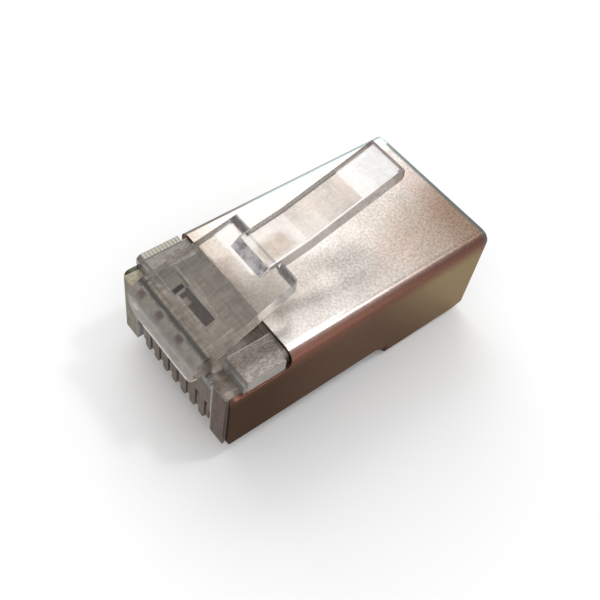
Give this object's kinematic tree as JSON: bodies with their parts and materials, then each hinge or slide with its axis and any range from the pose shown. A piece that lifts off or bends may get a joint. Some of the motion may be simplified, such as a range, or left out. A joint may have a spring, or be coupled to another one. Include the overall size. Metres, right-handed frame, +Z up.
{
  "type": "shielded modular network plug",
  "caption": "Shielded modular plug for a network cable: clear moulded body, folded metal shell, sprung latch, gold-plated blade contacts and an open cable entry at the rear.",
  "frame": {"origin": "centre of the plug's plan outline, level with the underside of the rear shell", "axes": "+Y from the nose towards the cable entry, +Z up through the latch, +X across the width"},
  "size_m": [0.0116, 0.0226, 0.0139],
  "materials": {
    "clear_plastic": "clear polycarbonate, polished with satin and ribbed zones",
    "nickel_shell": "satin nickel plate on thin sheet, fine grain",
    "gold_contacts": "gold plate on stamped copper alloy"
  },
  "bodies": {
    "plug": {"housing": "clear_plastic", "shield": "nickel_shell", "contact_1": "gold_contacts", "contact_2": "gold_contacts", "contact_3": "gold_contacts", "contact_4": "gold_contacts", "contact_5": "gold_contacts", "contact_6": "gold_contacts", "contact_7": "gold_contacts", "contact_8": "gold_contacts"},
    "latch": {"latch": "clear_plastic"}
  },
  "joints": [
    {"name": "latch_press", "type": "hinge", "parent": "plug", "child": "latch", "pos_m": [0, -0.01055, 0.008], "axis": [-1, 0, 0], "range_deg": [0, 10], "stiffness_Nm_per_rad": 0.1}
  ]
}
